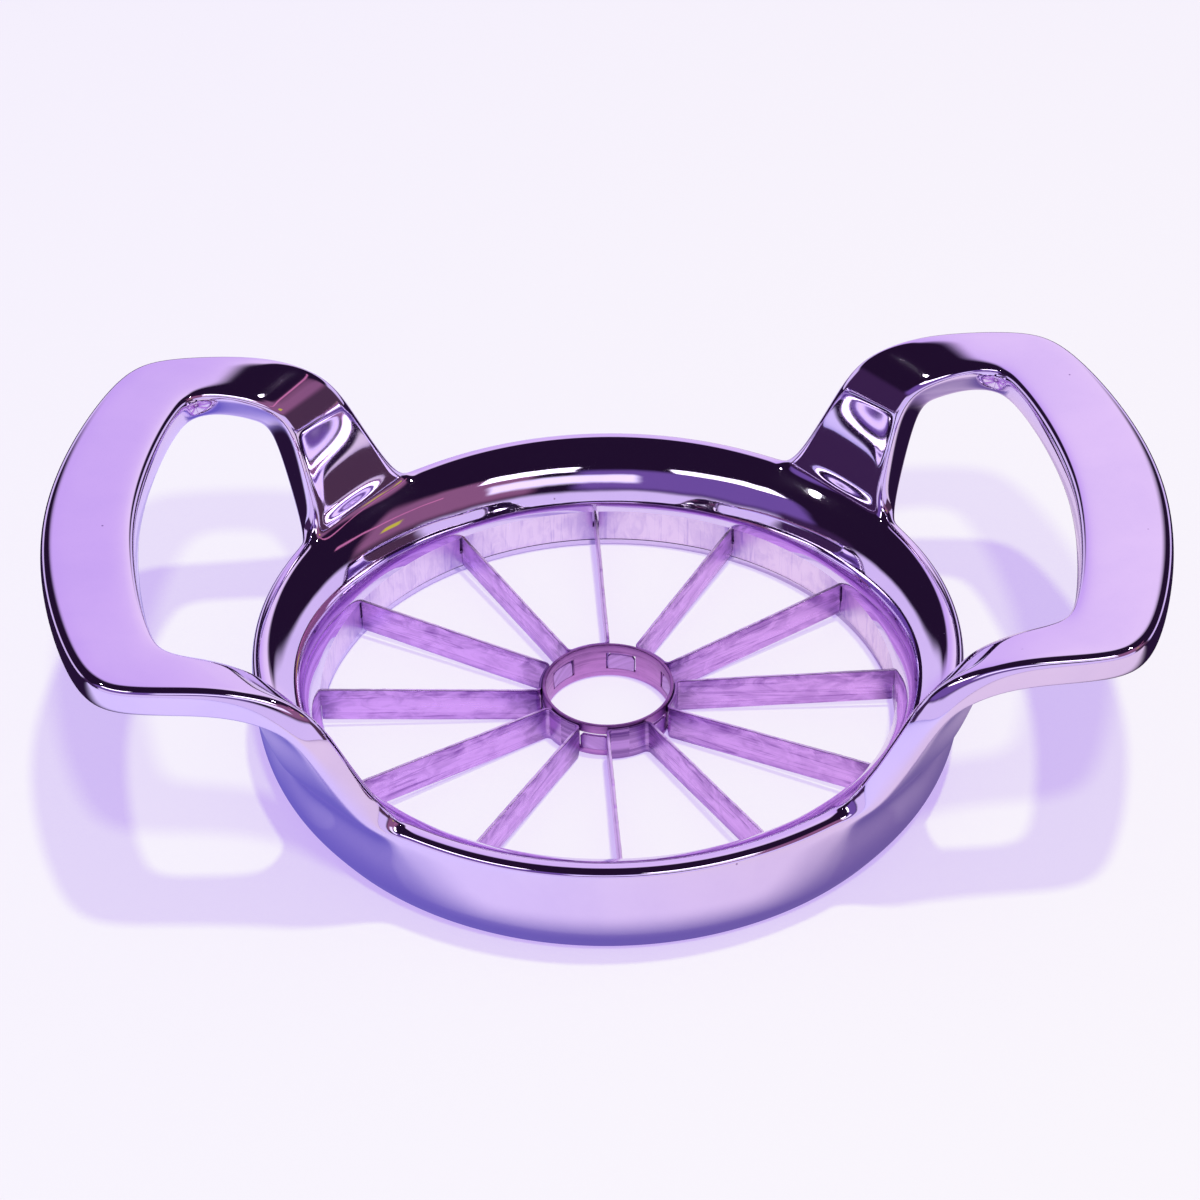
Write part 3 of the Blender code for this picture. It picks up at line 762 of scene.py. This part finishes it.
# Marks that rolling, grinding and washing leave on stainless sheet, along and across the work
streak_scales = (55.0, 800.0)
scratch_scales = (26.0, 900.0)
gap_scales = (160.0, 900.0)
stain_scales = (230.0, 420.0)
marks_group, marks_in, marks_out = new_group(
    "sheet_marks",
    (("Along", "NodeSocketFloat"), ("Across", "NodeSocketFloat"), ("Seed", "NodeSocketFloat")),
    (("Streaks", "NodeSocketFloat"), ("Scratches", "NodeSocketFloat"), ("Stains", "NodeSocketFloat")),
)


def marks_vector(along_scale, across_scale, offset):
    made = marks_group.nodes.new("ShaderNodeCombineXYZ")
    for index, (socket, scale) in enumerate((("Along", along_scale), ("Across", across_scale))):
        value = math_node(marks_group, "MULTIPLY", marks_in.outputs[socket], scale)
        marks_group.links.new(value, made.inputs[index])
    marks_group.links.new(math_node(marks_group, "ADD", marks_in.outputs["Seed"], offset), made.inputs[2])
    return made.outputs[0]


streaks = noise_node(marks_group, marks_vector(*streak_scales, 0.0), 1.0, 4.0, 0.62)
marks_group.links.new(ramp(marks_group, streaks, 0.25, 0.75, False), marks_out.inputs["Streaks"])
lines = noise_node(marks_group, marks_vector(*scratch_scales, 4.3), 1.0, 1.0, 0.5, 0.1)
lines = math_node(marks_group, "ABSOLUTE", math_node(marks_group, "SUBTRACT", lines, 0.57))
lines = ramp(marks_group, lines, 0.035, 0.004)
gaps = noise_node(marks_group, marks_vector(*gap_scales, 8.1), 1.0, 2.0)
lines = math_node(marks_group, "MULTIPLY", lines, ramp(marks_group, gaps, 0.42, 0.56))
marks_group.links.new(lines, marks_out.inputs["Scratches"])
stains = noise_node(marks_group, marks_vector(*stain_scales, 12.7), 1.0, 5.0, 0.6, 0.9)
marks_group.links.new(ramp(marks_group, stains, 0.36, 0.68), marks_out.inputs["Stains"])


def steel_material(name):
    """A new metal with its Object place round the axis and its sheet marks ready to be wired."""
    made = bpy.data.materials.new(name)
    made.use_nodes = True
    tree = made.node_tree
    tree.nodes["Principled BSDF"].inputs["Metallic"].default_value = 1.0
    spot = tree.nodes.new("ShaderNodeTexCoord")
    place = tree.nodes.new("ShaderNodeGroup")
    place.node_tree = round_group
    link(tree, spot, "Object", place, 0)
    marks = tree.nodes.new("ShaderNodeGroup")
    marks.node_tree = marks_group
    return made, tree, place, marks


def tone_of(tree, start, *worn):
    """From light to dark, 0 to 1: a start, and each mask's share of darkness on top."""
    tone = start
    for mask, share in worn[:-1]:
        tone = math_node(tree, "MULTIPLY_ADD", mask, share, tone)
    mask, share = worn[-1]
    return math_node(tree, "MULTIPLY_ADD", mask, share, tone, clamp=True)


def wire_steel(tree, marks, colour, roughness, streak_roughness, height, relief):
    """Joins a steel's colour, its roughness, which grows along the streaks, and its relief."""
    shader = tree.nodes["Principled BSDF"]
    tree.links.new(colour, shader.inputs["Base Color"])
    rough = math_node(tree, "MULTIPLY_ADD", marks.outputs["Streaks"], streak_roughness, roughness)
    tree.links.new(rough, shader.inputs["Roughness"])
    tree.links.new(bump_node(tree, height, relief), shader.inputs["Normal"])


band_steel, tree, place, marks = steel_material("band_steel")
arc = math_node(tree, "MULTIPLY", place.outputs["Turn"], band_radius)
link(tree, place, "Height", marks, "Along")
tree.links.new(arc, marks.inputs["Across"])
streaks, scratches, stains = marks.outputs
from_blade = math_node(tree, "SUBTRACT", place.outputs["Turn"], first_blade)
# Painted shade: the band is darker beside each slot, where a blade stands
painted_slot_shade = ramp(tree, math_node(tree, "PINGPONG", from_blade, pitch / 2), pitch * 0.3, half_slot)
tone = tone_of(tree, -0.14, (stains, 0.30), (streaks, 0.14), (painted_slot_shade, 0.40), (scratches, 0.25))
colour = mix_colour(tree, tone, band_light, band_dark)
# Painted shade: a thin dark line that comes and goes along the sheared upper edge, where it meets the
# casting
raggedness = math_node(tree, "MULTIPLY_ADD", stains, line_depth, place.outputs["Height"])
painted_edge_shade_line = ramp(tree, raggedness, band_heights[-1] - line_depth, band_heights[-1] - line_edge)
colour = mix_colour(tree, painted_edge_shade_line, colour, painted_band_edge_shade)
wire_steel(tree, marks, colour, 0.26, 0.15, streaks, band_relief)
dress(band, band_steel)
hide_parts("blade_band")
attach(band, "root")


# Core ring.
# A short tube of stainless steel in the middle, ground thin along its lower edge. Six windows are
# cut through it, and the flap of each stays on at the bottom and leans out behind the strips.
core_radius = 0.0103
core_wall = 0.0006
core_heights = (0.0003, 0.00085, 0.0014, 0.0018, 0.0029, 0.0040, 0.0051, 0.0060, 0.0068)
core_thin_shares = (0.42, 0.71, 1, 1, 1, 1, 1, 1, 1)
window_rows = (3, 6)
window_width = 0.0053
window_turn = math.radians(75)
window_count = 6
window_steps = 8
flap_width = 0.0046
flap_wall = 0.0005
flap_height = 0.00295
flap_root = 0.0005
flap_lean = math.radians(3.5)
flap_rounding = 0.0006
flap_columns = 10
flap_rows = 8
core_edge = 0.00009
core_rim = (0.0030, 0.0066)
core_foot = (0.0019, 0.0012)
core_relief = 0.000015
flap_skew = 1.6
core_light = (0.62, 0.29, 0.66, 1.0)
core_dark = (0.22, 0.085, 0.27, 1.0)
flap_light = (0.66, 0.40, 0.80, 1.0)

half_window = math.asin(window_width / 2 / (core_radius + core_wall))
window_pitch = math.tau / window_count
wall_arc = window_pitch - 2 * half_window
core_turns = []
for window in range(window_count):
    left = window_turn - half_window + window_pitch * window
    core_turns += [left + 2 * half_window * step / window_steps for step in range(window_steps)]
    core_turns += [left + 2 * half_window + wall_arc * step / window_steps for step in range(window_steps)]
core_turns.append(core_turns[0] + math.tau)


def in_window(column, row):
    return column % (2 * window_steps) < window_steps and window_rows[0] <= row < window_rows[1]


def core_corner(column, row):
    return round_axis(core_radius, core_turns[column], core_heights[row])


core = placed_grid("core_ring_tube", len(core_turns) - 1, len(core_heights) - 1, core_corner, in_window)
thin = core.vertex_groups.new(name="thin")
for corner in core.data.vertices:
    row = min(range(len(core_heights)), key=lambda index: abs(core_heights[index] - corner.co.z))
    thin.add([corner.index], core_thin_shares[row], "REPLACE")
finish_sheet(core, core_wall, 1, core_edge)

flap_bottom = core_heights[window_rows[0]]
half_flap = flap_width / 2 / (core_radius + core_wall / 2)


def flap_corner(column, row):
    aside = 2 * column / flap_columns - 1
    share = row / flap_rows
    # The two upper corners are rounded off
    curved = 2 * flap_rounding / flap_width
    over = min(1.0, max(0.0, (abs(aside) + curved - 1) / curved))
    top = flap_height - flap_rounding * (1 - math.sqrt(1 - over * over))
    up = -flap_root + (top + flap_root) * share
    lean = max(0.0, up) * math.tan(flap_lean)
    radius = core_radius + (core_wall - flap_wall) / 2 + lean
    return round_axis(radius, window_turn + aside * half_flap, flap_bottom + up)


flap = placed_grid("core_flap", flap_columns, flap_rows, flap_corner, lambda column, row: False)
if flap.data.polygons[0].normal.dot(flap.data.polygons[0].center * Vector((1, 1, 0))) < 0:
    flap.data.flip_normals()
finish_sheet(flap, flap_wall, 1, core_edge)

core_steel, tree, place, marks = steel_material("core_steel")
arc = math_node(tree, "MULTIPLY", place.outputs["Turn"], core_radius)
tree.links.new(arc, marks.inputs["Along"])
link(tree, place, "Height", marks, "Across")
streaks, scratches, stains = marks.outputs
rim = ramp(tree, place.outputs["Height"], *core_rim)
foot = ramp(tree, place.outputs["Height"], *core_foot)
tone = tone_of(
    tree, -0.16, (streaks, 0.40), (stains, 0.20), (rim, 0.42), (foot, -0.12), (scratches, 0.30),
)
colour = mix_colour(tree, tone, core_light, core_dark)
wire_steel(tree, marks, colour, 0.28, 0.15, streaks, core_relief)

flap_steel, tree, place, marks = steel_material("flap_steel")
arc = math_node(tree, "MULTIPLY", place.outputs["Turn"], core_radius)
skew = math_node(tree, "MULTIPLY_ADD", place.outputs["Height"], flap_skew, arc)
tree.links.new(skew, marks.inputs["Across"])
link(tree, place, "Height", marks, "Along")
streaks = marks.outputs["Streaks"]
colour = mix_colour(tree, tone_of(tree, -0.1, (streaks, 0.5)), flap_light, core_dark)
wire_steel(tree, marks, colour, 0.26, 0.15, streaks, core_relief)

dress(core, core_steel)
dress(flap, flap_steel)
flaps = [flap]
for window in range(1, window_count):
    other = flap.copy()
    other.data = flap.data.copy()
    other.data.transform(Matrix.Rotation(window_pitch * window, 4, "Z"))
    scene.collection.objects.link(other)
    flaps.append(other)
bpy.ops.object.select_all(action="DESELECT")
for piece in flaps + [core]:
    piece.select_set(True)
bpy.context.view_layer.objects.active = core
bpy.ops.object.join()
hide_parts("core_ring")
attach(core, "root")


# Blade strips.
# Six strips of stainless sheet, each folded to two blades and the web between them, which lies on
# the core. The lower edge is ground to a bevel, the upper one keeps the burr of the shears, and
# the ends' upper halves run on into the band's slots.
strip_thickness = 0.0005
strip_levels = (0.0063, 0.0056, 0.0049, 0.0040, 0.0032, 0.0026, 0.0018, 0.0008, 0.0002, 0.0)
strip_thin_shares = (0.24, 0.62, 1, 1, 1, 1, 1, 1, 1, 1)
hook_row = 4
blade_top = 0.0078
star_sag = 0.0013
web_radius = 0.01119
tip_radius = 0.0474
hook_radii = (0.0476, 0.0479, band_radius + band_wall)
root_spread = math.radians(3)
fold_radius = 0.0009
web_steps = 6
fold_steps = 8
blade_steps = 64
waver = 0.00005
waver_scales = (110, 140)
burr = 0.00009
burr_scales = (1500, 520, 700)
burr_share = 0.6
burr_fade_share = 0.3
# The blade runs true over these lengths at its tip, and from the web on
true_tip = 0.003
true_root = (0.001, 0.005)
blade_light = (0.82, 0.48, 0.98, 1.0)
blade_dark = (0.30, 0.12, 0.46, 1.0)
# Painted shade beside the core and the band, and behind the core
blade_shadow = (0.085, 0.035, 0.15, 1.0)
# Painted highlight along the burred upper edge
painted_burr_highlight = (0.95, 0.80, 1.0, 1.0)
# Heights below the blade's upper edge
bevel_depth = 0.00475
bevel_blur = 0.0002
ridge_blur = (0.00016, 0.00003)
upper_depth = (0.0030, 0.0004)
burr_highlight_depth = 0.00007
# Distances from the axis
burr_highlight_starts = (0.0125, 0.0150)
dark_at_core = (0.0185, 0.0118)
dark_at_band = (0.0435, 0.0472)
dark_web = (0.01125, 0.01105)
blade_seed = 17.3
blade_relief = 0.000012

root = round_axis(web_radius, pitch / 2 + root_spread, 0)
tip = round_axis(tip_radius, pitch / 2, 0)
along = (tip - root).normalized()
aside = Vector((along.y, -along.x, 0))
# The fold's centre lies one fold radius beside the blade and outside the web
start = root + aside * fold_radius
towards = start.dot(along)
reach = web_radius + fold_radius
fold_centre = start + along * (math.sqrt(reach ** 2 - start.length_squared + towards ** 2) - towards)
leave = math.atan2(fold_centre.y, fold_centre.x)
fold_start = leave + math.pi
fold_end = math.atan2(-aside.y, -aside.x)
if fold_end > fold_start:
    fold_end -= math.tau
half_route = [round_axis(web_radius, leave * step / web_steps, 0) for step in range(web_steps + 1)]
for step in range(1, fold_steps + 1):
    turn = fold_start + (fold_end - fold_start) * step / fold_steps
    half_route.append(fold_centre + round_axis(fold_radius, turn, 0))
fold_out = half_route[-1]
half_route += [fold_out.lerp(tip, step / blade_steps) for step in range(1, blade_steps + 1)]
tip_column = len(half_route) - 1
half_route += [round_axis(radius, pitch / 2, 0) for radius in hook_radii]
route = [Vector((spot.x, -spot.y, 0)) for spot in reversed(half_route[1:])] + half_route
hook_columns = len(half_route) - 1 - tip_column


def held(share):
    return min(max(share, 0.0), 1.0)


def dish_depth(radius):
    """How far the star hangs lower here than at the band."""
    return star_sag * held((band_radius - radius) / (band_radius - web_radius))


def strip_corner(column, row):
    spot = route[column]
    before, after = route[max(column - 1, 0)], route[min(column + 1, len(route) - 1)]
    beside = (after - before).normalized().cross(Vector((0, 0, 1)))
    up = blade_top - dish_depth(spot.length) - strip_levels[row]
    free = held((tip_radius - spot.length) / true_tip)
    free *= held((spot.length - web_radius - true_root[0]) / (true_root[1] - true_root[0]))
    push = noise.noise(spot * waver_scales[0] + Vector((0, 0, up * waver_scales[1]))) * waver * free
    if row >= len(strip_levels) - 2:
        rough = (noise.noise(spot * burr_scales[0]) + noise.noise(spot * burr_scales[1])) * burr_share
        up += rough * burr * free * (1 if row == len(strip_levels) - 1 else burr_fade_share)
        push += noise.noise(spot * burr_scales[2] + Vector((9, 0, 0))) * burr * burr_share * free
    return spot + beside * push + Vector((0, 0, up))


def below_hook(column, row):
    return row < hook_row and (column < hook_columns or column >= len(route) - 1 - hook_columns)


strip = placed_grid("blade_strip_1", len(route) - 1, len(strip_levels) - 1, strip_corner, below_hook)
thin = strip.vertex_groups.new(name="thin")
for corner in strip.data.vertices:
    level = blade_top - dish_depth((corner.co * Vector((1, 1, 0))).length) - corner.co.z
    row = min(range(len(strip_levels)), key=lambda index: abs(strip_levels[index] - level))
    thin.add([corner.index], strip_thin_shares[row], "REPLACE")
finish_sheet(strip, strip_thickness, 0, sheet_edge)

blade_steel, tree, place, marks = steel_material("blade_steel")
radius, turn, up = place.outputs
link(tree, place, "Radius", marks, "Along")
link(tree, place, "Height", marks, "Across")
streaks, scratches, stains = marks.outputs
blade_number = math_node(tree, "ROUND", math_node(tree, "DIVIDE", turn, pitch))
tree.links.new(math_node(tree, "MULTIPLY", blade_number, blade_seed), marks.inputs["Seed"])
# The height over the blade's own upper edge, which hangs lower towards the core
dish_slope = star_sag / (band_radius - web_radius)
dish = math_node(tree, "MULTIPLY_ADD", radius, -dish_slope, dish_slope * band_radius - blade_top)
level = math_node(tree, "ADD", up, dish)
ground = ramp(tree, level, -bevel_depth, -bevel_depth - bevel_blur)
ridge = math_node(tree, "ABSOLUTE", math_node(tree, "ADD", level, bevel_depth))
ridge = ramp(tree, ridge, *ridge_blur)
upper = ramp(tree, level, -upper_depth[0], -upper_depth[1])
painted_burr_highlight_share = math_node(tree, "MULTIPLY", ramp(tree, level, -burr_highlight_depth, 0.0), ramp(tree, radius, *burr_highlight_starts))
stained = math_node(tree, "MULTIPLY", upper, stains)
tone = tone_of(
    tree, -0.20, (streaks, 0.34), (stains, 0.34), (stained, 0.35), (upper, 0.12), (ground, 0.10),
    (ridge, 0.28), (scratches, 0.40),
)
colour = mix_colour(tree, tone, blade_light, blade_dark)
# Painted shade beside the core and the band, patchy with the stains, and in the web's corner behind the core
deep = math_node(tree, "MULTIPLY", ramp(tree, radius, *dark_at_core), 0.55)
deep = math_node(tree, "MULTIPLY_ADD", ramp(tree, radius, *dark_at_band), 0.45, deep)
patchy = math_node(tree, "MULTIPLY_ADD", stains, 0.6, 0.5)
deep = math_node(tree, "MULTIPLY", deep, patchy, clamp=True)
deep = math_node(tree, "MAXIMUM", deep, ramp(tree, radius, *dark_web))
colour = mix_colour(tree, deep, colour, blade_shadow)
# Painted highlight: a bright line along the burred upper edge, away from the core
colour = mix_colour(tree, painted_burr_highlight_share, colour, painted_burr_highlight)
height = math_node(tree, "MULTIPLY_ADD", scratches, -0.5, streaks)
wire_steel(tree, marks, colour, 0.22, 0.18, height, blade_relief)
dress(strip, blade_steel)
strips = [strip]
for index in range(1, blade_count // 2):
    other = strip.copy()
    other.data = strip.data.copy()
    other.name = "blade_strip_%d" % (index + 1)
    scene.collection.objects.link(other)
    strips.append(other)
for index, piece in enumerate(strips):
    piece.data.transform(Matrix.Rotation(first_blade + pitch / 2 + 2 * pitch * index, 4, "Z"))
    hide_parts("blade_pair_%d" % (index + 1))
    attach(piece, "root")
